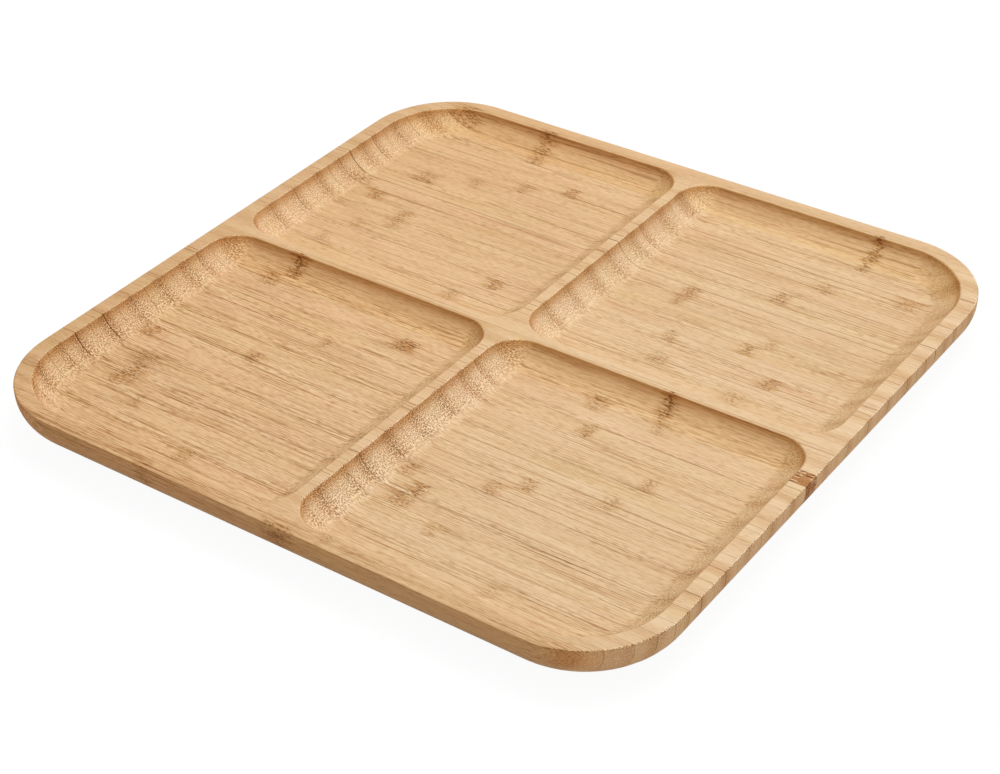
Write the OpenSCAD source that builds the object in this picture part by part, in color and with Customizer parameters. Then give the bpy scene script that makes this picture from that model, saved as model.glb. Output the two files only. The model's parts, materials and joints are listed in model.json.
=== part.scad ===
// Square serving plate with four compartments, milled from a board of bamboo strips
// that stand on edge and are glued face to face.
// Millimetres. X runs along the grain, Y across the strips, Z up.
// The origin is the middle of the flat underside.

/* [Plate] */
// Length of each side of the plate
plate_side = 250; // [220:1:300]
// Thickness, from the flat underside to the rim
plate_thickness = 15; // [14:0.5:20]
// Radius of the plate's four corners, seen from above
corner_radius = 34; // [28:0.5:45]
// Radius that rounds the lower edge up to the side, so that fingers get under it
lower_round = 13; // [6:0.5:13.5]

/* [Compartments] */
// Width of the flat rim between the plate's side and a compartment
rim_width = 6; // [5:0.25:9]
// Width of the flat top of the two dividers, which cross in the middle
divider_width = 4; // [3:0.25:8]
// Depth of a compartment's floor below the rim
compartment_depth = 8; // [5:0.2:9]
// Radius of the cutter's rounded edge, which leaves the cove between a compartment's floor and its walls
cove_radius = 12.5; // [9.5:0.25:14]
// Radius of the flat at the cutter's tip, which is all that it leaves flat in a compartment's inner corners
cutter_tip = 0.5; // [0.5:0.1:4]

/* [Strips] */
// Thickness aimed at for a bamboo strip: it is planed so that whole strips just fill the board
strip_thickness = 6.75; // [5.5:0.25:9]
// Width that trimming leaves of the strip at the front edge
front_strip_width = 2.1; // [1.5:0.1:5]
// Width that trimming leaves of the strip at the back edge
back_strip_width = 4.9; // [1.5:0.1:6.5]

/* [Hidden] */
$fn = 96;

half_side = plate_side / 2;
corner_centre = half_side - corner_radius;
straight_edge = 2 * corner_centre;

floor_height = plate_thickness - compartment_depth;
// The cove meets the rim before it stands upright, so its foot is less than a radius from the wall
cove_rise = min(compartment_depth, cove_radius);
cove_run = sqrt(pow(cove_radius, 2) - pow(cove_radius - cove_rise, 2));
// Radius of the cutter at the rim, which the three inner corners of a compartment keep
cutter_radius = cutter_tip + cove_run;
// What the cutter clears above the rim, in air
clear_above = 1;
cut_height = compartment_depth + clear_above;

// A compartment in the quarter where X and Y are positive reaches from the divider to the rim
inner_wall = divider_width / 2;
outer_wall = half_side - rim_width;
// Its corner by the plate's own corner has the same centre as that corner
outer_corner_radius = corner_radius - rim_width;

// Between the two trimmed strips, as many whole strips lie in front of the middle joint as behind it
front_joint = front_strip_width - half_side;
back_joint = half_side - back_strip_width;
middle_joint = (front_joint + back_joint) / 2;
strips_each_way = round((back_joint - middle_joint) / strip_thickness);
planed_thickness = (back_joint - middle_joint) / strips_each_way;

// Bamboo shades that the strips take in turn
strip_shades = ["#e6c49b", "#dcb283", "#e2bb90", "#d8ac7c", "#e4bf94"];
shade_step = 3;

// Whole strips are counted outwards from the middle joint
function strip_name(side, i) = str(side, "_strip_", i < 10 ? "0" : "", i);

// Section of the plate's edge, from a corner's axis out to the side
module edge_section() {
    intersection() {
        square([corner_radius, plate_thickness]);
        union() {
            square([corner_radius - lower_round, plate_thickness]);
            translate([corner_radius - lower_round, lower_round]) circle(r = lower_round);
            translate([0, lower_round]) square([corner_radius, plate_thickness - lower_round]);
        }
    }
}

// Section of what the cutter takes at a wall, from reach inside the wall out to the wall
module cove_section(reach) {
    translate([0, floor_height]) intersection() {
        square([reach + clear_above, cut_height]);
        union() {
            square([reach - cove_run, cut_height]);
            translate([reach - cove_run, cove_radius]) circle(r = cove_radius);
        }
    }
}

// Draws what lies between two places along Y only if the strip from low to high reaches it
module reached(low, high, from, to) {
    if (from < high && to > low) children();
}

// A straight run of the plate's edge, with the side towards +X
module blank_edge() {
    translate([corner_centre, corner_centre, 0])
        rotate([90, 0, 0]) linear_extrude(straight_edge) edge_section();
}

// The plate before its compartments are cut, as far as the strip from low to high reaches
module plate_blank(low, high) {
    reached(low, high, -corner_centre, corner_centre) {
        translate([-corner_centre, -corner_centre, 0])
            cube([straight_edge, straight_edge, plate_thickness]);
        blank_edge();
        rotate(180) blank_edge();
    }
    for (back = [0, 1]) mirror([0, 1 - back, 0])
        reached(back ? low : -high, back ? high : -low, corner_centre, half_side) {
            rotate(90) blank_edge();
            for (left = [0, 1]) mirror([left, 0, 0]) translate([corner_centre, corner_centre, 0])
                rotate_extrude(angle = 90) edge_section();
        }
}

// A quarter turn of the cove at a corner of a compartment
module cove_corner(radius, x, y, turn) {
    translate([x, y, 0]) rotate(turn) rotate_extrude(angle = 90) cove_section(radius);
}

// A straight run of the cove from (x, y): unturned, its wall faces -X and it runs towards -Y
module cove_edge(x, y, turn, run) {
    translate([x, y, 0]) rotate(turn) rotate([90, 0, 0]) linear_extrude(run) cove_section(cutter_radius);
}

// The compartment in the quarter where X and Y are positive, as far as the strip reaches
module compartment(low, high) {
    near = inner_wall + cutter_radius;
    far = outer_wall - cutter_radius;
    outer = outer_wall - outer_corner_radius;
    reached(low, high, inner_wall, near) {
        cove_corner(cutter_radius, near, near, 180);
        cove_edge(far, near, 270, far - near);
        cove_corner(cutter_radius, far, near, 270);
    }
    reached(low, high, near, far) {
        translate([0, 0, floor_height]) linear_extrude(cut_height)
            polygon([[near, near], [far, near], [far, outer], [outer, outer], [outer, far], [near, far]]);
        cove_edge(near, near, 180, far - near);
    }
    reached(low, high, near, outer) cove_edge(far, outer, 0, outer - near);
    reached(low, high, far, outer_wall) {
        cove_corner(cutter_radius, near, far, 90);
        cove_edge(near, far, 90, outer - near);
    }
    reached(low, high, outer, outer_wall) cove_corner(outer_corner_radius, outer, outer, 0);
}

// A strip of the glued board, from its front face at low to its back face at high, as milled
module bamboo_strip(low, high, turn) {
    color(strip_shades[(turn * shade_step) % len(strip_shades)]) difference() {
        intersection() {
            plate_blank(low, high);
            translate([-half_side, low, 0]) cube([plate_side, high - low, plate_thickness]);
        }
        for (back = [0, 1]) mirror([0, 1 - back, 0])
            for (left = [0, 1]) mirror([left, 0, 0])
                compartment(back ? low : -high, back ? high : -low);
    }
}

// Whole strip i in front of the middle joint
module front_strip(i) {
    high = middle_joint - (i - 1) * planed_thickness;
    bamboo_strip(high - planed_thickness, high, i);
}

// Whole strip i behind the middle joint
module back_strip(i) {
    low = middle_joint + (i - 1) * planed_thickness;
    bamboo_strip(low, low + planed_thickness, i + strips_each_way);
}

module front_edge_strip() {
    bamboo_strip(-half_side, front_joint, strips_each_way + 1);
}

module back_edge_strip() {
    bamboo_strip(back_joint, half_side, 2 * strips_each_way + 1);
}

front_edge_strip();
for (i = [1 : strips_each_way]) front_strip(i);
for (i = [1 : strips_each_way]) back_strip(i);
back_edge_strip();
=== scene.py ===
"""Dresses the divided bamboo plate.

Every strip of the glued board becomes a milled surface with eased edges and its own grain, knuckles and
glue lines, and a plain studio stands round the plate. Lengths are in metres, in the frame of the plate:
X runs along the grain, Y across the strips from front to back, Z up.
"""

import json
import logging
import math
from dataclasses import dataclass
from enum import Enum

import bpy
import numpy as np
from mathutils import Matrix, Vector


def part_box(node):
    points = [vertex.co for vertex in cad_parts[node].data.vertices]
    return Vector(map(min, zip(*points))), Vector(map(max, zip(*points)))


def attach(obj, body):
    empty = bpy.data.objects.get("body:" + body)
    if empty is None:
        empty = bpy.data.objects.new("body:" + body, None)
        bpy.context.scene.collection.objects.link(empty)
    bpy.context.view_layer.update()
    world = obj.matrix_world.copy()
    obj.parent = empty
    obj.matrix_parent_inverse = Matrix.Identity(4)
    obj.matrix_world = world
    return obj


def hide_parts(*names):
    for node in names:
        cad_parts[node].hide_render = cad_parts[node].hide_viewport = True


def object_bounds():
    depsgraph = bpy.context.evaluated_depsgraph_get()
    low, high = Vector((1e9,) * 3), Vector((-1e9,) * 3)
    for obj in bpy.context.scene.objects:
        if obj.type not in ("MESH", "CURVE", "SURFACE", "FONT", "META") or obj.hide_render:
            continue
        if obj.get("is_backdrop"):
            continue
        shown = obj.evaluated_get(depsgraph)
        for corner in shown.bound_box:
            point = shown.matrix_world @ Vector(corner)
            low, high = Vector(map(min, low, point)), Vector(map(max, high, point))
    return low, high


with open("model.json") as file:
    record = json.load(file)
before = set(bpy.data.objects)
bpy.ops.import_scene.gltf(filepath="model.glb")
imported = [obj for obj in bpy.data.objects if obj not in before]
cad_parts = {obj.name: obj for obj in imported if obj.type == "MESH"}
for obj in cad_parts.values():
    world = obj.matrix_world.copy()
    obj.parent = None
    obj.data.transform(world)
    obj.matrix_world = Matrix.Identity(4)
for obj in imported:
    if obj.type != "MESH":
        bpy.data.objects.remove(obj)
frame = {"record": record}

Array = np.ndarray
Colour = tuple[float, float, float]
Scale = tuple[float, float, float]
Socket = bpy.types.NodeSocket
Sockets = bpy.types.bpy_prop_collection
Feed = Socket | float | tuple

MM = 0.001
BODY = "root"
LOG = logging.getLogger("bamboo_plate")


@dataclass(frozen=True)
class PlateForm:
    """The milled shape of the whole plate, given as heights and normals over places (x, y)."""

    half_side: float
    thickness: float
    corner_radius: float = 34 * MM
    lower_round: float = 13 * MM
    rim_width: float = 6 * MM
    divider_width: float = 4 * MM
    compartment_depth: float = 8 * MM
    cove_radius: float = 12.5 * MM
    cutter_tip: float = 0.5 * MM
    eased_edge: float = 0.6 * MM
    eased_steps: int = 5
    cove_steps: int = 18
    lower_steps: int = 18
    floor_steps: int = 26
    least_step: float = 0.001 * MM

    @property
    def floor_height(self) -> float:
        """Height of a compartment's floor over the underside."""
        return self.thickness - self.compartment_depth

    @property
    def cove_run(self) -> float:
        """How far the cove's foot lies from the wall, where the cove would meet a sharp rim."""
        return math.sqrt(self.cove_radius**2 - (self.cove_radius - self.compartment_depth) ** 2)

    @property
    def cutter_radius(self) -> float:
        """Radius of the cutter at the rim, which the inner corners of a compartment keep."""
        return self.cutter_tip + self.cove_run

    @property
    def inner_wall(self) -> float:
        """Distance of a compartment's wall at the divider from the middle of the plate."""
        return self.divider_width / 2

    @property
    def outer_wall(self) -> float:
        """Distance of a compartment's wall at the rim from the middle of the plate."""
        return self.half_side - self.rim_width

    @property
    def corner_centre(self) -> float:
        """Distance of a corner's axis from the middle of the plate, along X or Y."""
        return self.half_side - self.corner_radius

    @property
    def outer_corner(self) -> float:
        """Radius of a compartment's corner beside the plate's own corner, with the same centre."""
        return self.corner_radius - self.rim_width

    @property
    def eased_centre(self) -> float:
        """Inset of the axis of the eased rim edge, which touches the rim and the cove."""
        reach = self.cove_radius + self.eased_edge
        drop = reach - self.compartment_depth
        return self.cove_run - math.sqrt(reach**2 - drop**2)

    @property
    def eased_foot(self) -> float:
        """Inset at which the eased rim edge runs into the cove."""
        share = self.eased_edge / (self.cove_radius + self.eased_edge)
        return self.eased_centre + share * (self.cove_run - self.eased_centre)

    @staticmethod
    def rounded_inset(x: Array, y: Array, half: float, corner: Array | float) -> tuple[Array, Array]:
        """Measure how far places lie inside a square with round corners, whose middle is the origin.

        In a corner the inset is the radius less the distance from the corner's axis. Elsewhere it is the
        half side less the larger of |x| and |y|.

        Args:
            x: Places along the grain.
            y: Places across the strips.
            half: Half the square's side.
            corner: Radius of its corners.

        Returns:
            The insets, and unit vectors in plan that point straight out of the square.
        """
        past_x, past_y = np.abs(x) - half + corner, np.abs(y) - half + corner
        radius = np.hypot(past_x, past_y)
        in_corner = (past_x > 0) & (past_y > 0)
        inset = np.where(in_corner, corner - radius, corner - np.maximum(past_x, past_y))
        lean_x = np.where(in_corner, past_x / np.maximum(radius, MM), past_x > past_y)
        lean_y = np.where(in_corner, past_y / np.maximum(radius, MM), past_x <= past_y)
        return inset, np.stack([lean_x * np.sign(x), lean_y * np.sign(y)], -1)

    def edge_inset(self, x: Array, y: Array) -> tuple[Array, Array]:
        """Measure how far places lie inside the plate's outline, and which way leads straight out of it."""
        return self.rounded_inset(x, y, self.half_side, self.corner_radius)

    def compartment_inset(self, x: Array, y: Array) -> tuple[Array, Array]:
        """Measure how far places lie inside the rim line of the compartment in their quarter of the plate.

        The rim line is a square with round corners too. Three corners have the cutter's radius, and the one
        beside the plate's corner shares that corner's centre.

        Args:
            x: Places along the grain.
            y: Places across the strips.

        Returns:
            The insets, negative on the rim and the dividers, and unit vectors in plan that point inwards.
        """
        middle = (self.inner_wall + self.outer_wall) / 2
        half = (self.outer_wall - self.inner_wall) / 2
        off_x, off_y = np.abs(x) - middle, np.abs(y) - middle
        corner = np.where((off_x > 0) & (off_y > 0), self.outer_corner, self.cutter_radius)
        inset, outward = self.rounded_inset(off_x, off_y, half, corner)
        return inset, -outward * np.stack([np.sign(x), np.sign(y)], -1)

    def upper_surface(self, x: Array, y: Array) -> tuple[Array, Array]:
        """Work out the upper surface: rim, eased edges, coves and floors.

        Across any wall it is a chain of arcs that touch: the flat rim, a small arc that rounds over, the
        large hollow arc of the cove and the flat floor. At the plate's side a small arc rounds over too.

        Args:
            x: Places along the grain.
            y: Places across the strips.

        Returns:
            Heights and unit normals.
        """
        inset, inward = self.compartment_inset(x, y)
        edge, outward = self.edge_inset(x, y)
        ease = np.clip((inset - self.eased_centre) / self.eased_edge, 0, 1)
        cove = np.clip((self.cove_run - inset) / self.cove_radius, 0, 1)
        side = np.clip((self.eased_edge - edge) / self.eased_edge, 0, 1)
        on_ease = inset < self.eased_foot
        hollow = self.floor_height + self.cove_radius * (1 - np.sqrt(1 - cove**2))
        crest = self.thickness - self.eased_edge * (1 - np.sqrt(1 - ease**2))
        height = np.where(on_ease, crest, hollow) - self.eased_edge * (1 - np.sqrt(1 - side**2))
        lean = np.where(on_ease, ease, cove)[..., None] * inward + side[..., None] * outward
        upright = np.sqrt(np.clip(1 - np.sum(lean**2, -1), 0, 1))
        return height, np.concatenate([lean, upright[..., None]], -1)

    def lower_surface(self, x: Array, y: Array) -> tuple[Array, Array]:
        """Work out the lower surface: a flat underside that a quarter circle lifts to the plate's side.

        Args:
            x: Places along the grain.
            y: Places across the strips.

        Returns:
            Heights and unit normals.
        """
        edge, outward = self.edge_inset(x, y)
        lean = np.clip((self.lower_round - edge) / self.lower_round, 0, 1)
        upright = np.sqrt(1 - lean**2)
        normal = np.concatenate([lean[..., None] * outward, -upright[..., None]], -1)
        return self.lower_round * (1 - upright), normal

    def marks(self) -> Array:
        """List the distances from the middle at which the grid has a line, close together on the arcs.

        Returns:
            Rising distances from zero to the half side.
        """
        quarter = math.pi / 2
        ease_end = math.asin((self.eased_foot - self.eased_centre) / self.eased_edge)
        ease = self.eased_centre + self.eased_edge * np.sin(np.linspace(0, ease_end, self.eased_steps + 1))
        cove_top = math.asin((self.cove_run - self.eased_foot) / self.cove_radius)
        cove = self.cove_run - self.cove_radius * np.sin(np.linspace(0, cove_top, self.cove_steps + 1))
        arris = self.eased_edge * (1 - np.sin(np.linspace(0, quarter, self.eased_steps + 1)))
        lower = self.lower_round * (1 - np.sin(np.linspace(0, quarter, self.lower_steps + 1)))
        lower = lower[(lower > self.eased_edge) & (lower < self.rim_width + self.eased_centre)]
        wall = np.union1d(ease, cove)
        flat = np.linspace(self.inner_wall + self.cove_run, self.outer_wall - self.cove_run, self.floor_steps + 1)
        levels = [[0.0], self.inner_wall + wall, flat, self.outer_wall - wall]
        levels += [self.half_side - lower, self.half_side - arris]
        found = np.sort(np.concatenate(levels))
        return found[np.append(True, np.diff(found) > self.least_step)]

    def half_width(self, y: Array) -> Array:
        """Half the plate's length along X at places across the strips: straight, then a quarter circle."""
        past = np.clip(np.abs(y) - self.corner_centre, 0, self.corner_radius)
        return self.corner_centre + np.sqrt(self.corner_radius**2 - past**2)

    def wall_places(self, y: Array) -> tuple[Array, Array]:
        """Find where a compartment's two walls cross lines along X, following the corners' arcs.

        Beyond a compartment the places stay at the end of the arc, drawn in with the plate's own outline.

        Args:
            y: Places of the lines across the strips.

        Returns:
            Distances of the inner and the outer wall from the middle.
        """
        span = np.abs(y)
        near, far = self.inner_wall + self.cutter_radius, self.outer_wall - self.cutter_radius
        low = np.clip(near - span, 0, self.cutter_radius)
        high = np.clip(span - far, 0, self.cutter_radius)
        last = np.clip(span - self.corner_centre, 0, self.outer_corner)
        inner = near - np.sqrt(self.cutter_radius**2 - np.maximum(low, high) ** 2)
        by_divider = far + np.sqrt(self.cutter_radius**2 - low**2)
        by_corner = self.corner_centre + np.sqrt(self.outer_corner**2 - last**2)
        drawn_in = self.half_width(y) / self.half_width(np.minimum(span, self.outer_wall))
        return inner, np.minimum(by_divider, by_corner) * drawn_in

    def lines_along(self, y: Array) -> Array:
        """Lay the grid's places along X on lines at y, so that its columns follow the rim lines' corners.

        Each mark keeps its distance from the wall or side next to it, and slides evenly in between.

        Args:
            y: Places of the lines across the strips.

        Returns:
            One row of places for each line, from the left side to the right side.
        """
        marks = self.marks()
        zero = np.zeros_like(y)
        inner, outer = self.wall_places(y)
        width = self.half_width(y)
        run, ease, arris = self.cove_run, -self.eased_centre, self.eased_edge
        at = [0, self.inner_wall - ease, self.inner_wall + run, self.outer_wall - run, self.outer_wall + ease]
        to = [zero, inner - ease, inner + run, outer - run, outer + ease]
        at = np.array(at + [self.half_side - arris, self.half_side])
        to = np.stack(to + [width - arris, width], -1)
        part = np.clip(np.searchsorted(at, marks, side="right") - 1, 0, len(at) - 2)
        share = (marks - at[part]) / (at[part + 1] - at[part])
        right = to[:, part] * (1 - share) + to[:, part + 1] * share
        return np.concatenate([-right[:, :0:-1], right], 1)


class SkinSide(Enum):
    """The face of a strip that lay towards the cane's skin, where the fibres stand closest."""

    FRONT = 0.0
    BACK = 1.0


class Tone(Enum):
    """The ground colours of the strips, each as a pale and a deeper linear colour."""

    CREAM = ((0.868, 0.625, 0.380), (0.836, 0.583, 0.341))
    STRAW = ((0.860, 0.618, 0.368), (0.828, 0.577, 0.328))
    ROSE = ((0.864, 0.611, 0.371), (0.831, 0.569, 0.333))
    HONEY = ((0.852, 0.605, 0.362), (0.819, 0.562, 0.322))
    TAN = ((0.841, 0.592, 0.351), (0.805, 0.546, 0.311))


@dataclass(frozen=True)
class Knuckle:
    """The scar of a joint of the cane: its place along the grain, its length and its depth of colour."""

    place: float
    depth: float
    length: float


@dataclass(frozen=True)
class BambooFinish:
    """How one strip looks: ground tone, skin side, how dark the glue line in front of it is, and knuckles."""

    tone: Tone
    skin: SkinSide
    glue: float
    knuckles: tuple[Knuckle, ...] = ()


class Zone(Enum):
    """A zone of the surface: what is measured there, and the values at which it sets in and is full.

    Lean is the surface's normal, slant the size of its lean along X, and depth runs from a strip's skin side.
    """

    END_GRAIN = ("Slant", 0.1, 0.5)
    LONG_GRAIN = ("Slant", 0.5, 0.1)
    TURNED_RIGHT = ("Lean X", 0.03, 0.3)
    TURNED_LEFT = ("Lean X", -0.03, -0.3)
    NOT_TURNED_LEFT = ("Lean X", -0.1, 0.1)
    TURNED_FRONT = ("Lean Y", -0.1, -0.4)
    FRONT_SIDE = ("Lean Y", -0.6, -0.95)
    FAR_WALL = ("Lean Y", -0.8, -0.92)
    UPPER = ("Lean Z", 0.1, 0.35)
    SIDE = ("Lean Z", 0.35, 0.1)
    STEEP = ("Lean Z", 0.68, 0.4)
    TURNED_UP = ("Lean Z", 0.02, 0.25)
    LEFT = ("Place X", 60 * MM, -80 * MM)
    RIGHT = ("Place X", -80 * MM, 60 * MM)
    FAR_LEFT = ("Place X", -95 * MM, -125 * MM)
    FAR_RIGHT = ("Place X", 100 * MM, 120 * MM)
    FRONT = ("Place Y", 20 * MM, -60 * MM)
    BACK = ("Place Y", 0.0, 60 * MM)
    FORE = ("Place Y", -112 * MM, -119 * MM)
    NOT_FORE = ("Place Y", -119 * MM, -112 * MM)
    RIM = ("Place Z", 14 * MM, 14.9 * MM)
    OFF_FLOOR = ("Place Z", 7.3 * MM, 9 * MM)
    RIND = ("Depth", 0.7, 0.0)
    NEAR_SKIN = ("Depth", 0.5, 0.03)
    WARM = ("Drift", 0.34, 0.66)
    ROSY = ("Hue", 0.54, 0.68)
    GOLDEN = ("Hue", 0.46, 0.32)
    COARSE = ("Rough", 0.38, 0.6)
    BAND = ("Band", 0.4, 0.66)
    STREAK = ("Streak", 0.5, 0.68)
    PALE_LINE = ("Streak", 0.38, 0.26)
    HAIR = ("Hair", 0.70, 0.76)
    PORE = ("Pore", 0.48, 0.68)


@dataclass(frozen=True)
class StainAndPaintedLight:
    """A colour that multiplies the ground where zones meet, and by the strip's own share of rind if told so. Some
    are stains of the bamboo, some are painted light and shade.
    """

    colour: Colour
    zones: tuple[Zone, ...]
    by_rind: bool = False


@dataclass(frozen=True)
class Force:
    """How strong a mark is where zones don't meet and where they do."""

    apart: float
    meeting: float
    zones: tuple[Zone, ...]


@dataclass(frozen=True)
class FibreNoise:
    """A noise drawn out along the grain: cycles per metre, finer layers, and whether it sways."""

    along: float
    across: float
    detail: float = 0.0
    roughness: float = 0.5
    sways: bool = True


@dataclass(frozen=True)
class GrainInk:
    """What the marks of the grain multiply the ground colour by, above 1 where they lighten it."""

    band: Colour = (0.978, 0.962, 0.942)
    pale_fibre: Colour = (1.02, 1.03, 1.04)
    pale_line: Colour = (1.06, 1.09, 1.13)
    streak: Colour = (0.64, 0.52, 0.40)
    hair: Colour = (0.60, 0.46, 0.32)
    pore: Colour = (0.76, 0.67, 0.56)
    pith: Colour = (1.15, 1.18, 1.22)
    dot: Colour = (0.38, 0.28, 0.20)
    patch: Colour = (0.84, 0.71, 0.50)
    patch_core: Colour = (0.74, 0.60, 0.50)
    curl: Colour = (0.30, 0.19, 0.10)
    glue: Colour = (0.24, 0.15, 0.08)


FIBRES = {
    "Streak": FibreNoise(55, 2600),
    "Band": FibreNoise(45, 1000, 2, 0.65),
    "Hair": FibreNoise(12, 1500),
    "Pore": FibreNoise(320, 3000),
    "Drift": FibreNoise(26, 240, 2, sways=False),
    "Hue": FibreNoise(15, 130, 1, sways=False),
    "Rough": FibreNoise(22, 260, 1, sways=False),
}

# Colours that multiply the ground by the lean and the place of the surface, matched to the photograph's tones. The
# lighter slopes turned right or to the front and the lighter end-grain sides are painted light. The darker slopes
# turned left, front side, steep slopes, far-wall tops and back half are painted shade. The rest are stains of the
# bamboo by rind and hue, and shifts of tone from place to place.
STAINS_AND_PAINTED_LIGHT = (
    # Painted light: slopes turned right are lighter, partly also the paler end grain cut at a slant
    StainAndPaintedLight((1.13, 1.18, 1.25), (Zone.TURNED_RIGHT, Zone.UPPER)),
    # Painted shade: slopes turned left are darker
    StainAndPaintedLight((0.86, 0.83, 0.76), (Zone.TURNED_LEFT, Zone.UPPER)),
    # Painted light: slopes turned to the front are lighter
    StainAndPaintedLight((1.10, 1.06, 0.95), (Zone.TURNED_FRONT, Zone.UPPER)),
    # Painted shade: the front side is darker and browner
    StainAndPaintedLight((0.88, 0.71, 0.53), (Zone.FRONT_SIDE, Zone.SIDE)),
    # Painted light: the end-grain sides are lighter and warmer
    StainAndPaintedLight((1.15, 1.02, 0.88), (Zone.END_GRAIN, Zone.SIDE)),
    StainAndPaintedLight((0.86, 0.78, 0.70), (Zone.END_GRAIN, Zone.RIND), by_rind=True),
    StainAndPaintedLight((1.04, 1.06, 1.10), (Zone.FAR_RIGHT, Zone.RIM)),
    StainAndPaintedLight((0.92, 0.86, 0.79), (Zone.FAR_RIGHT, Zone.RIM, Zone.RIND), by_rind=True),
    StainAndPaintedLight((0.96, 0.93, 0.89), (Zone.RIM, Zone.RIND)),
    StainAndPaintedLight((1.0, 0.98, 0.985), (Zone.ROSY,)),
    StainAndPaintedLight((0.99, 0.99, 0.955), (Zone.GOLDEN,)),
    StainAndPaintedLight((0.97, 0.91, 0.84), (Zone.LEFT,)),
    # Painted shade: the back half is a little darker
    StainAndPaintedLight((0.97, 0.965, 0.955), (Zone.BACK,)),
    StainAndPaintedLight((0.96, 0.93, 0.88), (Zone.FAR_LEFT, Zone.FRONT)),
    StainAndPaintedLight((0.92, 0.91, 0.89), (Zone.FAR_LEFT, Zone.RIM)),
    StainAndPaintedLight((0.95, 0.91, 0.86), (Zone.FORE, Zone.RIM)),
    # Painted shade: steep slopes, the coves' tops and rounded edges, are darker and browner
    StainAndPaintedLight((0.78, 0.62, 0.44), (Zone.STEEP, Zone.UPPER)),
    # Painted shade: the tops of the far walls, under the rim, are darker
    StainAndPaintedLight((0.86, 0.85, 0.82), (Zone.FAR_WALL, Zone.UPPER)),
)

# How strong the fibres, the bands, the dots of cut bundles and the glue lines are from zone to zone
FIBRE_FORCE = (
    Force(0.45, 1.0, (Zone.NEAR_SKIN,)),
    Force(0.6, 1.0, (Zone.COARSE,)),
    Force(0.8, 1.7, (Zone.LEFT, Zone.FRONT)),
    Force(1.0, 0.3, (Zone.RIM, Zone.NOT_FORE)),
)
BAND_FORCE = (Force(0.3, 1.0, (Zone.LONG_GRAIN,)), Force(1.0, 0.5, (Zone.RIM,)))
DOT_FORCE = (
    Force(0.03, 1.0, (Zone.END_GRAIN,)),
    Force(0.75, 1.0, (Zone.RIND,)),
    Force(0.6, 1.0, (Zone.NOT_TURNED_LEFT,)),
    Force(0.4, 1.0, (Zone.TURNED_UP,)),
    Force(0.65, 0.95, (Zone.FRONT,)),
)
GLUE_FORCE = (
    Force(0.6, 1.0, (Zone.OFF_FLOOR,)),
    Force(1.0, 0.5, (Zone.FAR_LEFT,)),
    Force(1.0, 1.8, (Zone.END_GRAIN, Zone.SIDE)),
    Force(1.0, 3.0, (Zone.END_GRAIN, Zone.UPPER, Zone.FAR_LEFT)),
    Force(1.0, 0.6, (Zone.END_GRAIN, Zone.UPPER, Zone.RIGHT)),
)


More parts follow.
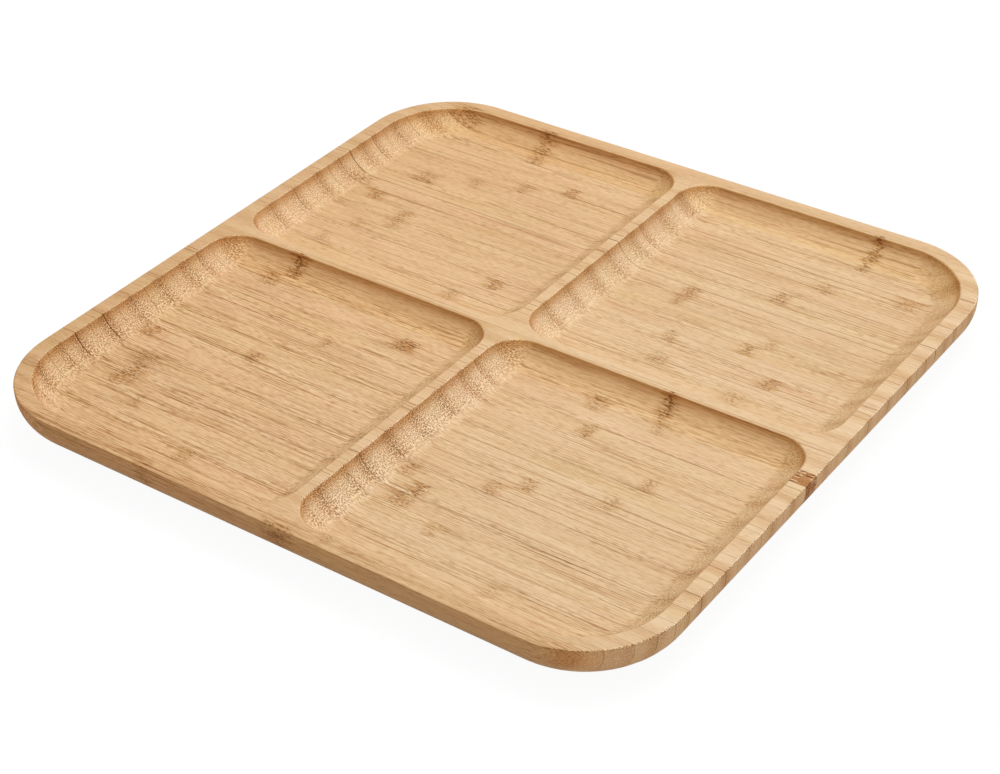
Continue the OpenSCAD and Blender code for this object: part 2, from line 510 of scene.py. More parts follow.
class Graph:
    """A node tree, with short ways to add the nodes that the bamboo needs."""

    def __init__(self, tree: bpy.types.NodeTree) -> None:
        """Take a node tree to build in."""
        self.tree = tree

    def node(self, kind: str, **settings: object) -> bpy.types.Node:
        """Add a node.

        Args:
            kind: The node's type name.
            settings: Properties to set on it.

        Returns:
            The new node.
        """
        made = self.tree.nodes.new(kind)
        for name, value in settings.items():
            setattr(made, name, value)
        return made

    def feed(self, socket: Socket, value: Feed) -> None:
        """Link a socket to an output, or set its own value."""
        if isinstance(value, bpy.types.NodeSocket):
            self.tree.links.new(value, socket)
        else:
            socket.default_value = value

    def math(self, operation: str, a: Feed, b: Feed = 0.0) -> Socket:
        """Combine two numbers.

        Args:
            operation: The Math node's operation.
            a: First number or output.
            b: Second number or output.

        Returns:
            The result's output.
        """
        made = self.node("ShaderNodeMath", operation=operation)
        self.feed(made.inputs[0], a)
        self.feed(made.inputs[1], b)
        return made.outputs[0]

    def times(self, product: Feed, *others: Feed) -> Feed:
        """Multiply numbers.

        Args:
            product: First number or output.
            others: The numbers or outputs to multiply it by, in turn.

        Returns:
            The product.
        """
        for other in others:
            product = self.math("MULTIPLY", product, other)
        return product

    def share(self, value: Feed, low: float, high: float) -> Socket:
        """Turn a number from 0 to 1 into one from low to high."""
        return self.math("ADD", self.math("MULTIPLY", value, high - low), low)

    def split(self, vector: Feed) -> Sockets:
        """Take a vector apart into outputs X, Y and Z."""
        made = self.node("ShaderNodeSeparateXYZ")
        self.feed(made.inputs[0], vector)
        return made.outputs

    def join(self, *axes: Feed) -> Socket:
        """Put a vector together from numbers for X, Y and Z."""
        made = self.node("ShaderNodeCombineXYZ")
        for socket, value in zip(made.inputs, axes):
            self.feed(socket, value)
        return made.outputs[0]

    def vector(self, operation: str, a: Feed, b: Feed) -> Socket:
        """Combine two vectors.

        Args:
            operation: The Vector Math node's operation.
            a: First vector or output.
            b: Second vector or output.

        Returns:
            The result's output.
        """
        made = self.node("ShaderNodeVectorMath", operation=operation)
        self.feed(made.inputs[0], a)
        self.feed(made.inputs[1], b)
        return made.outputs[0]

    def ramp(self, value: Feed, low: Feed, high: Feed, to_low: Feed = 0.0, to_high: Feed = 1.0) -> Socket:
        """Map a number smoothly from one range to another, level outside it.

        Args:
            value: The number or output to map.
            low: Start of the range.
            high: End of the range.
            to_low: What the start maps to.
            to_high: What the end maps to.

        Returns:
            The mapped number's output.
        """
        made = self.node("ShaderNodeMapRange", interpolation_type="SMOOTHSTEP")
        for socket, fed in zip(made.inputs, (value, low, high, to_low, to_high)):
            self.feed(socket, fed)
        return made.outputs[0]

    def noise(self, place: Socket, scale: Scale, detail: float, roughness: float = 0.5) -> bpy.types.Node:
        """Add a noise that is stretched by a scale for each axis.

        Args:
            place: The places' output.
            scale: Cycles per metre along X, Y and Z.
            detail: Number of finer layers.
            roughness: Share that each finer layer keeps.

        Returns:
            The noise node.
        """
        made = self.node("ShaderNodeTexNoise", noise_dimensions="3D")
        self.feed(made.inputs["Vector"], self.vector("MULTIPLY", place, scale))
        made.inputs["Scale"].default_value = 1.0
        made.inputs["Detail"].default_value = detail
        made.inputs["Roughness"].default_value = roughness
        return made

    def mix(self, share: Feed, a: Feed, b: Feed, blend: str = "MIX") -> Socket:
        """Mix two colours.

        Args:
            share: How much of the second colour to take.
            a: First colour or output.
            b: Second colour or output.
            blend: The Mix node's way of mixing.

        Returns:
            The mixed colour's output.
        """
        made = self.node("ShaderNodeMix", data_type="RGBA", blend_type=blend)
        self.feed(made.inputs[0], share)
        self.feed(made.inputs[6], a)
        self.feed(made.inputs[7], b)
        return made.outputs[2]

    def stain(self, share: Feed, ground: Socket, stain: Colour) -> Socket:
        """Multiply a colour by the stain's colour; painted light and shade are laid on the same way.

        Args:
            share: How strong the stain is.
            ground: The colour's output.
            stain: The stain's colour, which lightens where it is above 1.

        Returns:
            The stained colour's output.
        """
        return self.mix(share, ground, (*stain, 1.0), "MULTIPLY")

    def weave(self, share: Feed, ground: Socket, thread: Socket, light: Colour, dark: Colour) -> Socket:
        """Lay a fine pattern over a colour that lightens it in places and darkens it in others.

        Args:
            share: How strong the pattern is.
            ground: The colour's output.
            thread: The pattern, from 0 where it lightens to 1 where it darkens.
            light: What the colour is multiplied by where it is lightened most.
            dark: What the colour is multiplied by where it is darkened most.

        Returns:
            The patterned colour's output.
        """
        return self.mix(share, ground, self.mix(thread, (*light, 1.0), (*dark, 1.0)), "MULTIPLY")

    def place(self, group: bpy.types.NodeTree, **inputs: Feed) -> bpy.types.Node:
        """Place a node group and feed its inputs by name, with underscores for spaces.

        Args:
            group: The group's tree.
            inputs: Values or outputs for its inputs.

        Returns:
            The group node.
        """
        made = self.node("ShaderNodeGroup", node_tree=group)
        for name, value in inputs.items():
            self.feed(made.inputs[name.replace("_", " ")], value)
        return made


def new_group(name: str, inputs: dict[str, str], outputs: dict[str, str]) -> tuple[Graph, Sockets, Sockets]:
    """Make an empty shader node group.

    Args:
        name: The group's name.
        inputs: Kinds of the input sockets by name, such as Float.
        outputs: Kinds of the output sockets by name.

    Returns:
        The group's graph, the sockets that bring its inputs in and those that take its outputs.
    """
    tree = bpy.data.node_groups.new(name, "ShaderNodeTree")
    for way, kinds in (("INPUT", inputs), ("OUTPUT", outputs)):
        for label, kind in kinds.items():
            tree.interface.new_socket(label, in_out=way, socket_type="NodeSocket" + kind)
    graph = Graph(tree)
    return graph, graph.node("NodeGroupInput").outputs, graph.node("NodeGroupOutput").inputs


class ZoneMap:
    """The masks of the zones in one node tree, each made when it is first asked for."""

    def __init__(self, graph: Graph, measures: dict[str, Socket]) -> None:
        """Take the graph and the outputs of what is measured on the surface, by name."""
        self.graph, self.measures = graph, measures
        self.masks: dict[Zone, Socket] = {}

    def mask(self, *zones: Zone) -> Socket:
        """Find where zones meet.

        Args:
            zones: The zones.

        Returns:
            An output that is 1 where all of them are full and 0 outside any of them.
        """
        for zone in zones:
            if zone not in self.masks:
                measure, start, full = zone.value
                self.masks[zone] = self.graph.ramp(self.measures[measure], start, full)
        return self.graph.times(*(self.masks[zone] for zone in zones))

    def force(self, *parts: Force) -> Socket:
        """Multiply a mark's forces at every place."""
        return self.graph.times(*(self.graph.share(self.mask(*p.zones), p.apart, p.meeting) for p in parts))


@dataclass
class BambooGrain:
    """The node groups that all the strips share.

    Scales are in cycles per metre along X, Y and Z. A range gives the values of a noise, or the distances in
    lengths of a scar, over which something sets in or fades. A pair gives what holds at its two ends.
    """

    ink: GrainInk = GrainInk()
    sway: float = 0.2 * MM
    sway_scale: Scale = (14, 60, 60)
    bundle_pitch: float = 0.49 * MM
    bundle_scatter: float = 0.85
    bundle_radius: tuple[float, float] = (0.37, 0.33)
    bundle_blur: float = 0.08
    hair_force: float = 0.7
    least_pores: float = 0.3
    scar_bend: Scale = (60, 330, 260)
    scar_fibres: Scale = (60, 1500, 1500)
    scar_lines: Scale = (700, 1700, 1700)
    scar_roughness: float = 0.6
    scar_fibre_range: tuple[float, float] = (0.36, 0.64)
    scar_reach: tuple[float, float] = (0.1, 1.3)
    scar_full: float = 0.5
    scar_line_range: tuple[float, float] = (0.52, 0.58)
    scar_core_range: tuple[float, float] = (0.2, 0.9)
    scar_core_power: float = 3.0
    glue_patches: Scale = (18, 60, 60)
    glue_patch_range: tuple[float, float] = (0.3, 0.6)
    glue_patch_force: tuple[float, float] = (0.7, 1.0)
    glue_full: float = 0.3
    glue_width: tuple[float, float] = (0.119 * MM, 0.272 * MM)
    roughness: float = 0.54
    dot_roughness: float = 0.10
    streak_roughness: float = 0.12
    dot_height: float = -0.8
    streak_height: float = -0.5

    def __post_init__(self) -> None:
        """Build each group once."""
        self.fibres = self.fibre_field()
        self.knuckle = self.knuckle_mark()
        self.glue = self.glue_line()
        self.tint = self.bamboo_tint()

    def fibre_field(self) -> bpy.types.NodeTree:
        """Build the fibres, which run on along X and show as streaks or, cut across, as dots.

        A slow noise sways the places a little. Bundles are the cells of a flat cell noise over Y and Z, so
        that they run on along X. Streaks, bands, hairs and pores are noises drawn out along X, and so are
        the slower drift of the ground, its hue and the roughness of the fibres.

        Returns:
            The group: a place in; the distance from the nearest bundle's core and the noises out.
        """
        outputs = dict.fromkeys(("Bundle", *FIBRES), "Float")
        graph, given, result = new_group("fibre_field", {"Place": "Vector"}, outputs)
        place = given["Place"]
        sway = graph.vector("SUBTRACT", graph.noise(place, self.sway_scale, 1).outputs["Color"], (0.5, 0.5, 0.5))
        swayed = graph.vector("ADD", place, graph.vector("MULTIPLY", sway, (0, self.sway, self.sway)))
        pitch = 1 / self.bundle_pitch
        axes = graph.split(graph.vector("MULTIPLY", swayed, (1, pitch, pitch)))
        cells = graph.node("ShaderNodeTexVoronoi", voronoi_dimensions="2D", feature="F1")
        cells.inputs["Scale"].default_value = 1.0
        cells.inputs["Randomness"].default_value = self.bundle_scatter
        graph.feed(cells.inputs["Vector"], graph.join(axes["Y"], axes["Z"]))
        graph.feed(result["Bundle"], cells.outputs["Distance"])
        for name, fibre in FIBRES.items():
            scale = (fibre.along, fibre.across, fibre.across)
            noise = graph.noise(swayed if fibre.sways else place, scale, fibre.detail, fibre.roughness)
            graph.feed(result[name], noise.outputs["Fac"])
        return graph.tree

    def knuckle_mark(self) -> bpy.types.NodeTree:
        """Build the scar of one joint of the cane: a brown patch with short dark dashes in it.

        A noise bends the distance along X from the scar. A finer one gives each fibre its own reach, and the
        patch fades out where its fibre ends. The dashes are a noise over the bent distance.

        Returns:
            The group: a place, the scar's place along X, length and depth in; patch and curls out.
        """
        graph, given, result = new_group(
            "knuckle_mark",
            {"Place": "Vector", "Along": "Float", "Length": "Float", "Depth": "Float"},
            {"Patch": "Float", "Curl": "Float"},
        )
        place, length, depth = given["Place"], given["Length"], given["Depth"]
        axes = graph.split(place)
        rough = self.scar_roughness
        bend = graph.noise(place, self.scar_bend, 2, rough).outputs["Fac"]
        bend = graph.times(graph.math("SUBTRACT", bend, 0.5), length)
        wave = graph.math("ADD", graph.math("SUBTRACT", axes["X"], given["Along"]), bend)
        away = graph.math("DIVIDE", graph.math("ABSOLUTE", wave), length)
        fibre = graph.noise(place, self.scar_fibres, 1, rough).outputs["Fac"]
        reach = graph.ramp(fibre, *self.scar_fibre_range, *self.scar_reach)
        patch = graph.ramp(away, graph.times(reach, self.scar_full), reach, 1.0, 0.0)
        graph.feed(result["Patch"], graph.times(patch, depth))
        bent = graph.join(wave, axes["Y"], axes["Z"])
        lines = graph.ramp(graph.noise(bent, self.scar_lines, 1, rough).outputs["Fac"], *self.scar_line_range)
        core = graph.ramp(away, *self.scar_core_range, 1.0, 0.0)
        graph.feed(result["Curl"], graph.times(core, lines, depth))
        return graph.tree

    def glue_line(self) -> bpy.types.NodeTree:
        """Build the glue lines at a strip's two faces, wider the stronger, and the depth from its skin side.

        Returns:
            The group: a place, the faces' places along Y, the lines' strengths and the skin side in;
            the lines and the depth from the skin, 0 to 1, out.
        """
        inputs = dict.fromkeys(("Front", "Back", "Front Line", "Back Line", "Skin"), "Float")
        outputs = dict.fromkeys(("Line", "Depth"), "Float")
        graph, given, result = new_group("glue_line", {"Place": "Vector"} | inputs, outputs)
        across = graph.split(given["Place"])["Y"]
        patchy = graph.noise(given["Place"], self.glue_patches, 1).outputs["Fac"]
        lines = []
        for face in ("Front", "Back"):
            strength = given[face + " Line"]
            gap = graph.math("ABSOLUTE", graph.math("SUBTRACT", across, given[face]))
            width = graph.share(strength, *self.glue_width)
            line = graph.ramp(gap, graph.times(width, self.glue_full), width, 1.0, 0.0)
            lines.append(graph.times(line, strength))
        force = graph.ramp(patchy, *self.glue_patch_range, *self.glue_patch_force)
        graph.feed(result["Line"], graph.times(graph.math("MAXIMUM", *lines), force))
        near = graph.ramp(across, given["Front"], given["Back"])
        graph.feed(result["Depth"], graph.math("ABSOLUTE", graph.math("SUBTRACT", near, given["Skin"])))
        return graph.tree

    def bamboo_tint(self) -> bpy.types.NodeTree:
        """Build the colour, gloss and relief of bamboo from its fibres and marks.

        Stains of the bamboo, and painted light and shade, colour the ground in turn by the lean and the place of
        the surface. Over them lie bands, streaks, hairs and pores on long grain and dots on end grain, which the
        lean along X tells, and then the knuckles' patches and curls and the glue lines.

        Returns:
            The group: a place, two ground colours, the fibres, the strip's share of rind and the marks in;
            colour, roughness and height out.
        """
        marks = ("Bundle", *FIBRES, "Depth", "Rind", "Patch", "Curl", "Line")
        graph, given, result = new_group(
            "bamboo_tint",
            {"Place": "Vector", "Pale": "Color", "Warm": "Color"} | dict.fromkeys(marks, "Float"),
            {"Color": "Color", "Roughness": "Float", "Height": "Float"},
        )
        place = graph.split(given["Place"])
        lean = graph.split(graph.node("ShaderNodeTexCoord").outputs["Normal"])
        measures = {name: given[name] for name in (*FIBRES, "Depth")}
        for axis in "XYZ":
            measures |= {"Place " + axis: place[axis], "Lean " + axis: lean[axis]}
        measures["Slant"] = graph.math("ABSOLUTE", lean["X"])
        zones, ink = ZoneMap(graph, measures), self.ink
        ground = graph.mix(zones.mask(Zone.WARM), given["Pale"], given["Warm"])
        # Stains of the bamboo, and painted light and shade by lean and place, in turn
        for stain in STAINS_AND_PAINTED_LIGHT:
            share = zones.mask(*stain.zones)
            if stain.by_rind:
                share = graph.times(share, given["Rind"])
            ground = graph.stain(share, ground, stain.colour)
        band = graph.times(zones.mask(Zone.BAND), zones.force(*BAND_FORCE))
        ground = graph.stain(band, ground, ink.band)
        fibres = zones.force(*FIBRE_FORCE)
        streaks = graph.times(zones.mask(Zone.LONG_GRAIN), fibres)
        ground = graph.weave(streaks, ground, zones.mask(Zone.STREAK), ink.pale_fibre, ink.streak)
        ground = graph.stain(graph.times(zones.mask(Zone.PALE_LINE), streaks), ground, ink.pale_line)
        hairs = graph.times(zones.mask(Zone.HAIR, Zone.LONG_GRAIN), self.hair_force)
        ground = graph.stain(hairs, ground, ink.hair)
        pores = graph.share(fibres, self.least_pores, 1.0)
        ground = graph.weave(pores, ground, zones.mask(Zone.PORE), ink.pale_fibre, ink.pore)
        radius = graph.ramp(given["Depth"], 0.0, 1.0, *self.bundle_radius)
        start, end = (graph.math("ADD", radius, blur) for blur in (-self.bundle_blur, self.bundle_blur))
        dot = graph.ramp(given["Bundle"], start, end, 1.0, 0.0)
        ground = graph.weave(zones.force(*DOT_FORCE), ground, dot, ink.pith, ink.dot)
        ground = graph.stain(given["Patch"], ground, ink.patch)
        ground = graph.stain(graph.math("POWER", given["Patch"], self.scar_core_power), ground, ink.patch_core)
        ground = graph.stain(given["Curl"], ground, ink.curl)
        ground = graph.stain(graph.times(given["Line"], zones.force(*GLUE_FORCE)), ground, ink.glue)
        graph.feed(result["Color"], ground)
        streak = given["Streak"]
        rough = graph.math("ADD", graph.times(dot, self.dot_roughness), graph.times(streak, self.streak_roughness))
        graph.feed(result["Roughness"], graph.math("ADD", rough, self.roughness))
        pits = graph.math("ADD", graph.times(dot, self.dot_height), graph.times(streak, self.streak_height))
        graph.feed(result["Height"], graph.math("SUBTRACT", pits, given["Line"]))
        return graph.tree


@dataclass
class BambooStrip:
    """One strip of the board: its node, its two faces along Y, its finish and the glue line behind it.

    The shift moves its cut out of the fibres, and the rind is the range that its share of rind is drawn from.
    """

    node: str
    front: float
    back: float
    form: PlateForm
    finish: BambooFinish
    back_glue: float
    slot: str
    seed: int
    line_gap: float = 0.02 * MM
    relief: float = 0.35
    relief_height: float = 0.06 * MM
    specular: float = 0.14
    shift: float = 2.0
    rind: tuple[float, float] = (0.2, 1.2)

    def lines(self) -> Array:
        """List the places across the strip of the grid's lines, with one on each face.

        Returns:
            Rising places along Y.
        """
        marks = self.form.marks()
        within = np.union1d(-marks, marks)
        within = within[(within > self.front + self.line_gap) & (within < self.back - self.line_gap)]
        return np.concatenate([[self.front], within, [self.back]])

    def mesh(self) -> bpy.types.Mesh:
        """Build the strip's closed surface: upper and lower sheets over one grid, two sides and two faces.

        Returns:
            The mesh, with the true normals of the milled surfaces.
        """
        y_line = self.lines()
        x = self.form.lines_along(y_line)
        y = np.repeat(y_line[:, None], x.shape[1], 1)
        top, top_normal = self.form.upper_surface(x, y)
        low, low_normal = self.form.lower_surface(x, y)
        _, outward = self.form.edge_inset(x, y)
        side_normal = np.concatenate([outward, np.zeros_like(outward[..., :1])], -1)
        points = np.concatenate([np.stack([x, y, z], -1).reshape(-1, 3) for z in (top, low)])
        upper = np.arange(x.size).reshape(x.shape)
        lower = upper + x.size

        def ring(a: Array, b: Array, c: Array, d: Array) -> Array:
            """Join four sets of corners to four-sided faces."""
            return np.stack([a.ravel(), b.ravel(), c.ravel(), d.ravel()], -1)

        over = ring(upper[:-1, :-1], upper[:-1, 1:], upper[1:, 1:], upper[1:, :-1])
        under = ring(lower[:-1, :-1], lower[1:, :-1], lower[1:, 1:], lower[:-1, 1:])
        right = ring(lower[:-1, -1], lower[1:, -1], upper[1:, -1], upper[:-1, -1])
        left = ring(lower[1:, 0], lower[:-1, 0], upper[:-1, 0], upper[1:, 0])
        fore = ring(lower[0, :-1], lower[0, 1:], upper[0, 1:], upper[0, :-1])
        rear = ring(lower[-1, 1:], lower[-1, :-1], upper[-1, :-1], upper[-1, 1:])
        sheet = np.concatenate([top_normal.reshape(-1, 3), low_normal.reshape(-1, 3)])
        sides = np.tile(side_normal.reshape(-1, 3), (2, 1))
        flat = np.array([0.0, 1.0, 0.0])
        normals = [sheet[over], sheet[under], sides[right], sides[left]]
        normals += [np.broadcast_to(-flat, (*fore.shape, 3)), np.broadcast_to(flat, (*rear.shape, 3))]
        faces = np.concatenate([over, under, right, left, fore, rear])
        mesh = bpy.data.meshes.new(self.node + "_bamboo")
        mesh.from_pydata(points, [], faces)
        mesh.polygons.foreach_set("use_smooth", np.ones(len(faces), bool))
        mesh.normals_split_custom_set(np.concatenate([n.reshape(-1, 3) for n in normals]))
        mesh.update()
        return mesh

    def material(self, grain: BambooGrain) -> bpy.types.Material:
        """Dress the strip: its own cut out of the fibres, its knuckles, its glue lines and its ground tone.

        Args:
            grain: The node groups that all the strips share.

        Returns:
            The strip's material.
        """
        made = bpy.data.materials.new(self.node + "_bamboo")
        made.use_nodes = True
        made.node_tree.nodes.clear()
        graph = Graph(made.node_tree)
        place = graph.node("ShaderNodeTexCoord").outputs["Object"]
        draw = np.random.default_rng(self.seed)
        own = graph.vector("ADD", place, tuple(draw.uniform(-self.shift, self.shift, 3).round(3)))
        fibres = graph.place(grain.fibres, Place=own)
        glue = graph.place(
            grain.glue, Place=place, Front=self.front, Back=self.back, Front_Line=self.finish.glue,
            Back_Line=self.back_glue, Skin=self.finish.skin.value,
        )
        patch, curl = 0.0, 0.0
        for knuckle in self.finish.knuckles:
            mark = graph.place(
                grain.knuckle, Place=place, Along=knuckle.place, Length=knuckle.length, Depth=knuckle.depth
            )
            patch = graph.math("MAXIMUM", mark.outputs["Patch"], patch)
            curl = graph.math("MAXIMUM", mark.outputs["Curl"], curl)
        pale, warm = self.finish.tone.value
        tint = graph.place(
            grain.tint, Place=place, Pale=(*pale, 1.0), Warm=(*warm, 1.0), Depth=glue.outputs["Depth"],
            Line=glue.outputs["Line"], Rind=draw.uniform(*self.rind), Patch=patch, Curl=curl,
            **{output.name: output for output in fibres.outputs},
        )
        bump = graph.node("ShaderNodeBump")
        bump.inputs["Strength"].default_value = self.relief
        bump.inputs["Distance"].default_value = self.relief_height
        graph.feed(bump.inputs["Height"], tint.outputs["Height"])
        skin = graph.node("ShaderNodeBsdfPrincipled")
        skin.inputs["Specular IOR Level"].default_value = self.specular
        graph.feed(skin.inputs["Base Color"], tint.outputs["Color"])
        graph.feed(skin.inputs["Roughness"], tint.outputs["Roughness"])
        graph.feed(skin.inputs["Normal"], bump.outputs[0])
        graph.feed(graph.node("ShaderNodeOutputMaterial").inputs[0], skin.outputs[0])
        return made

    def build(self, grain: BambooGrain) -> bpy.types.Object:
        """Put the strip into the scene in place of its CAD node.

        Args:
            grain: The node groups that all the strips share.

        Returns:
            The strip's object.
        """
        piece = bpy.data.objects.new(self.node + "_bamboo", self.mesh())
        bpy.context.scene.collection.objects.link(piece)
        piece.data.materials.append(self.material(grain))
        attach(piece, BODY)
        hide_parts(self.node)
        return piece


def knuckles(*marks: tuple[float, float, float]) -> tuple[Knuckle, ...]:
    """Make a strip's knuckles from places in millimetres, depths of colour and lengths in millimetres."""
    return tuple(Knuckle(place * MM, depth, length * MM) for place, depth, length in marks)


FRONT, BACK = SkinSide.FRONT, SkinSide.BACK
FINISHES = {
    "front_edge_strip": BambooFinish(Tone.TAN, BACK, 0.0, knuckles((4, 0.6, 9), (-50, 0.4, 4))),
    "front_strip_18": BambooFinish(Tone.HONEY, FRONT, 0.15, knuckles((20, 0.4, 4))),
    "front_strip_17": BambooFinish(Tone.TAN, BACK, 0.3),
    "front_strip_16": BambooFinish(Tone.HONEY, BACK, 0.25, knuckles((-50, 0.5, 5.5), (68, 0.3, 4))),
    "front_strip_15": BambooFinish(Tone.CREAM, FRONT, 0.4),
    "front_strip_14": BambooFinish(Tone.STRAW, BACK, 0.4, knuckles((-83, 0.35, 4), (37, 0.35, 4))),
    "front_strip_13": BambooFinish(Tone.TAN, BACK, 0.45, knuckles((-97, 0.6, 7), (20, 0.6, 7))),
    "front_strip_12": BambooFinish(Tone.CREAM, FRONT, 0.9, knuckles((-96, 0.7, 8), (22, 0.7, 6))),
    "front_strip_11": BambooFinish(Tone.HONEY, BACK, 0.3, knuckles((-98, 0.5, 8), (13, 0.5, 4))),
    "front_strip_10": BambooFinish(Tone.ROSE, FRONT, 0.8, knuckles((40, 0.45, 5))),
    "front_strip_09": BambooFinish(Tone.HONEY, BACK, 0.25, knuckles((-107, 0.6, 6), (49, 0.55, 5))),
    "front_strip_08": BambooFinish(Tone.CREAM, FRONT, 0.35, knuckles((-68, 0.55, 5), (75, 0.4, 5))),
    "front_strip_07": BambooFinish(Tone.STRAW, BACK, 0.45),
    "front_strip_06": BambooFinish(Tone.HONEY, FRONT, 0.5, knuckles((80, 0.5, 4))),
    "front_strip_05": BambooFinish(Tone.ROSE, BACK, 0.35, knuckles((-52, 0.4, 4))),
    "front_strip_04": BambooFinish(Tone.STRAW, FRONT, 0.25, knuckles((49, 0.6, 5))),
    "front_strip_03": BambooFinish(Tone.ROSE, FRONT, 0.4, knuckles((-29, 0.8, 6), (124, 1.0, 9))),
    "front_strip_02": BambooFinish(Tone.HONEY, BACK, 0.35, knuckles((-94, 0.55, 6), (43, 0.45, 5), (67, 0.4, 4))),
    "front_strip_01": BambooFinish(Tone.TAN, FRONT, 0.25, knuckles((-87, 0.75, 6), (66, 0.75, 4))),
    "back_strip_01": BambooFinish(Tone.CREAM, BACK, 0.25),
    "back_strip_02": BambooFinish(Tone.HONEY, FRONT, 0.35),
    "back_strip_03": BambooFinish(Tone.STRAW, BACK, 0.2, knuckles((-35, 0.4, 5), (79, 0.4, 6))),
    "back_strip_04": BambooFinish(Tone.CREAM, FRONT, 0.5, knuckles((-97, 0.35, 5), (46, 0.45, 6))),
    "back_strip_05": BambooFinish(Tone.ROSE, BACK, 0.3, knuckles((-26, 0.65, 5), (84, 0.55, 5))),
    "back_strip_06": BambooFinish(Tone.CREAM, FRONT, 0.55, knuckles((-92, 0.3, 5), (43, 0.5, 4))),
    "back_strip_07": BambooFinish(Tone.HONEY, BACK, 0.3, knuckles((-81, 0.4, 5), (68, 0.55, 5))),
    "back_strip_08": BambooFinish(Tone.STRAW, FRONT, 0.45, knuckles((-81, 0.55, 5), (73, 0.4, 4))),
    "back_strip_09": BambooFinish(Tone.TAN, BACK, 0.4, knuckles((-99, 0.6, 6), (33, 0.4, 4))),
    "back_strip_10": BambooFinish(Tone.ROSE, FRONT, 0.5, knuckles((-110, 0.5, 7), (34, 0.6, 5))),
    "back_strip_11": BambooFinish(Tone.STRAW, BACK, 1.0),
    "back_strip_12": BambooFinish(Tone.HONEY, FRONT, 0.3, knuckles((-91, 0.5, 8), (62, 0.6, 5))),
    "back_strip_13": BambooFinish(Tone.ROSE, FRONT, 0.55, knuckles((-72, 0.4, 5))),
    "back_strip_14": BambooFinish(Tone.TAN, BACK, 0.3, knuckles((-55, 0.45, 6), (73, 0.45, 6))),
    "back_strip_15": BambooFinish(Tone.HONEY, FRONT, 0.4, knuckles((-38, 0.65, 5), (101, 0.5, 7))),
    "back_strip_16": BambooFinish(Tone.CREAM, BACK, 0.4),
    "back_strip_17": BambooFinish(Tone.STRAW, FRONT, 0.3, knuckles((-63, 0.5, 6), (77, 0.6, 4))),
    "back_strip_18": BambooFinish(Tone.HONEY, BACK, 0.3, knuckles((-63, 0.6, 6), (78, 0.7, 3.5), (-100, 0.6, 9))),
    "back_edge_strip": BambooFinish(Tone.TAN, FRONT, 0.3),
}


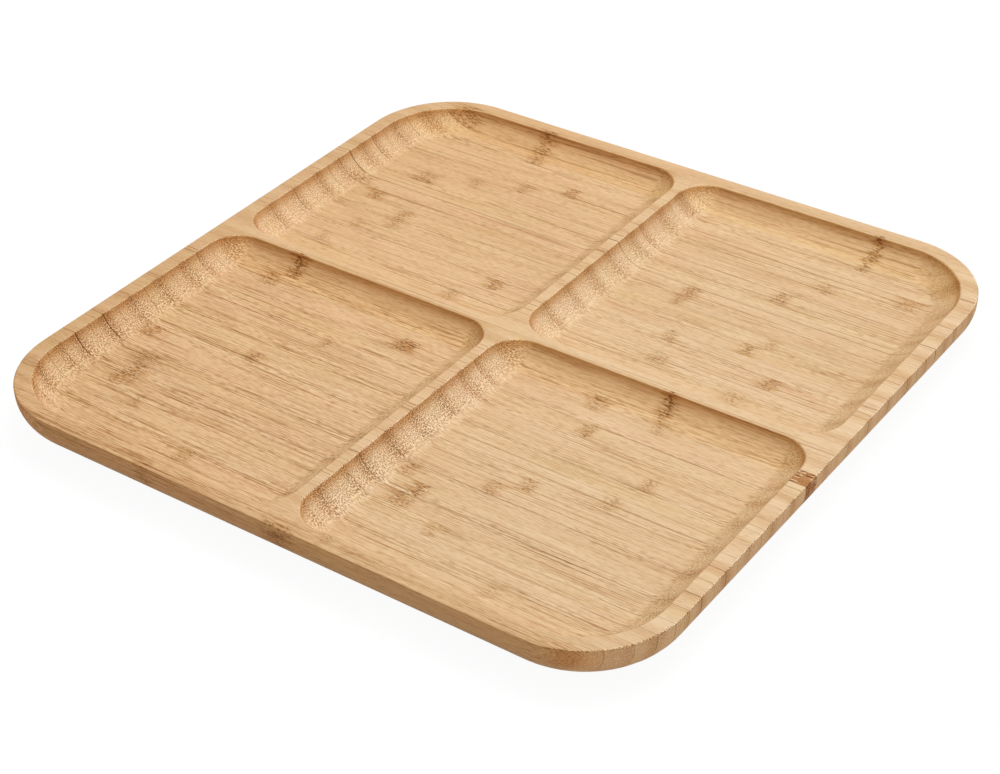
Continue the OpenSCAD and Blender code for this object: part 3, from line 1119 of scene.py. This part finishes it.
@dataclass
class Studio:
    """The plain studio: a pale floor, soft light from above and behind, and the camera of the photograph."""

    form: PlateForm
    image_width: int = 1000
    focal_pixels: float = 2191.77
    sensor: float = 36.0
    azimuth: float = 35.9847
    elevation: float = 35.2808
    roll: float = -1.4861
    distance: float = 5.8577
    slide: tuple[float, float] = (-0.0173, -0.1611)
    fill: float = 0.5
    key_power: float = 9.3
    key_place: tuple[float, float, float] = (0.0, 0.48, 1.2)
    key_size: float = 0.9
    floor_grey: float = 0.6
    floor_glow: float = 0.94
    floor_catch: float = 0.08
    floor_reach: float = 4.0
    floor_steps: int = 8
    floor_lap: float = 1 * MM

    def camera(self) -> bpy.types.Object:
        """Place the camera, from its angles, its roll and its distance in half sides of the plate.

        Returns:
            The camera's object.
        """
        turn, rise, roll = (math.radians(a) for a in (self.azimuth, self.elevation, self.roll))
        back = Vector((math.sin(turn) * math.cos(rise), -math.cos(turn) * math.cos(rise), math.sin(rise)))
        right = Vector((math.cos(turn), math.sin(turn), 0))
        up = back.cross(right)
        right, up = right * math.cos(roll) + up * math.sin(roll), up * math.cos(roll) - right * math.sin(roll)
        place = (back * self.distance + right * self.slide[0] + up * self.slide[1]) * self.form.half_side
        place.z += self.form.thickness
        data = bpy.data.cameras.new("camera")
        data.sensor_fit = "HORIZONTAL"
        data.sensor_width = self.sensor
        data.lens = self.focal_pixels * self.sensor / self.image_width
        made = bpy.data.objects.new("camera", data)
        made.matrix_world = Matrix.Translation(place) @ Matrix((right, up, back)).transposed().to_4x4()
        bpy.context.scene.collection.objects.link(made)
        bpy.context.scene.camera = made
        return made

    @staticmethod
    def seen(graph: Graph) -> Socket:
        """Tell rays that show the background: from the camera, or off gloss or through glass.

        Args:
            graph: The material's own graph.

        Returns:
            An output that is 1 on such rays and 0 on others.
        """
        ray = graph.node("ShaderNodeLightPath").outputs
        mirrored = graph.math("MAXIMUM", ray["Is Glossy Ray"], ray["Is Transmission Ray"])
        return graph.math("MAXIMUM", ray["Is Camera Ray"], mirrored)

    def world(self) -> None:
        """Light all round at the fill's strength, and show plain white where the background is seen."""
        world = bpy.data.worlds.new("studio")
        world.use_nodes = True
        bpy.context.scene.world = world
        graph = Graph(world.node_tree)
        shown = self.seen(graph)
        level = graph.math("ADD", graph.math("MULTIPLY", shown, 1 - self.fill), self.fill)
        graph.feed(world.node_tree.nodes["Background"].inputs["Strength"], level)
        world.node_tree.nodes["Background"].inputs["Color"].default_value = (1, 1, 1, 1)

    def key(self) -> bpy.types.Object:
        """Hang one large soft lamp above and behind the plate, turned to its middle.

        Returns:
            The lamp's object.
        """
        data = bpy.data.lights.new("key", "AREA")
        data.shape = "DISK"
        data.size = self.key_size
        data.energy = self.key_power
        made = bpy.data.objects.new("key", data)
        made.location = self.key_place
        made.rotation_euler = Vector(self.key_place).to_track_quat("Z", "Y").to_euler()
        bpy.context.scene.collection.objects.link(made)
        return made

    def floor(self) -> bpy.types.Object:
        """Lay the floor: a ring of faces that is open under the flat of the plate.

        Its inner line is the plate's flat underside, drawn in by the lap, and its outer line is that line
        scaled up. It is clear from below too, so that the underside can be looked at.

        Returns:
            The floor's object.
        """
        turns = np.radians(np.linspace(0, 90, self.floor_steps + 1) + np.arange(0, 360, 90)[:, None])
        centres = self.form.corner_centre * np.array([(1, 1), (-1, 1), (-1, -1), (1, -1)])[:, None]
        radius = self.form.corner_radius - self.form.lower_round - self.floor_lap
        inner = (centres + radius * np.stack([np.cos(turns), np.sin(turns)], -1)).reshape(-1, 2)
        places = np.concatenate([inner, inner * self.floor_reach / self.form.half_side])
        near = np.arange(len(inner))
        onward = np.roll(near, -1)
        mesh = bpy.data.meshes.new("floor")
        corners = np.pad(places, ((0, 0), (0, 1)))
        mesh.from_pydata(corners, [], np.stack([near, near + len(inner), onward + len(inner), onward], -1))
        made = bpy.data.objects.new("floor", mesh)
        bpy.context.scene.collection.objects.link(made)
        mesh.materials.append(self.floor_finish())
        made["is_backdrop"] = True
        return made

    def floor_finish(self) -> bpy.types.Material:
        """Dress the floor: plain white with a shadow where it is seen, grey as it lights, clear from below.

        Returns:
            The floor's material.
        """
        skin = bpy.data.materials.new("pale_floor")
        skin.use_nodes = True
        skin.node_tree.nodes.clear()
        graph = Graph(skin.node_tree)
        bounce = graph.node("ShaderNodeBsdfDiffuse")
        bounce.inputs["Color"].default_value = (self.floor_grey,) * 3 + (1,)
        catch = graph.node("ShaderNodeBsdfDiffuse")
        catch.inputs["Color"].default_value = (self.floor_catch,) * 3 + (1,)
        glow = graph.node("ShaderNodeEmission")
        glow.inputs["Strength"].default_value = self.floor_glow
        white = graph.node("ShaderNodeAddShader")
        graph.feed(white.inputs[0], catch.outputs[0])
        graph.feed(white.inputs[1], glow.outputs[0])
        both = graph.node("ShaderNodeMixShader")
        graph.feed(both.inputs[0], self.seen(graph))
        graph.feed(both.inputs[1], bounce.outputs[0])
        graph.feed(both.inputs[2], white.outputs[0])
        clear = graph.node("ShaderNodeMixShader")
        graph.feed(clear.inputs[0], graph.node("ShaderNodeNewGeometry").outputs["Backfacing"])
        graph.feed(clear.inputs[1], both.outputs[0])
        graph.feed(clear.inputs[2], graph.node("ShaderNodeBsdfTransparent").outputs[0])
        graph.feed(graph.node("ShaderNodeOutputMaterial").inputs[0], clear.outputs[0])
        return skin

    def build(self) -> None:
        """Set up the camera, the light, the floor and the plain view."""
        self.camera()
        self.world()
        self.key()
        self.floor()
        bpy.context.scene.view_settings.view_transform = "Standard"


@dataclass
class BambooPlate:
    """The whole plate: its form and the strips that its board is glued from, in order from the front."""

    form: PlateForm
    record: dict

    def strips(self) -> list[BambooStrip]:
        """Find each strip's faces in the frame and give it its finish.

        Returns:
            The strips, from front to back.
        """
        slots = {part["node"]: part["material_slot"] for part in self.record["subparts"]}
        ordered = sorted(FINISHES, key=lambda node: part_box(node)[0].y)
        behind = [FINISHES[node].glue for node in ordered[1:]] + [0.0]
        made = []
        for seed, (node, back_glue) in enumerate(zip(ordered, behind)):
            low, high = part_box(node)
            made.append(BambooStrip(node, low.y, high.y, self.form, FINISHES[node], back_glue, slots[node], seed))
        return made

    def build(self) -> None:
        """Build every strip and report it."""
        grain = BambooGrain()
        for strip in self.strips():
            piece = strip.build(grain)
            LOG.info("%s: %d faces", piece.name, len(piece.data.polygons))


def main() -> None:
    """Build the studio and the plate."""
    logging.basicConfig(level=logging.INFO, format="%(name)s %(message)s")
    lowest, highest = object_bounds()
    form = PlateForm(half_side=highest.x, thickness=highest.z)
    Studio(form).build()
    BambooPlate(form, frame["record"]).build()


if __name__ == "__main__":
    main()
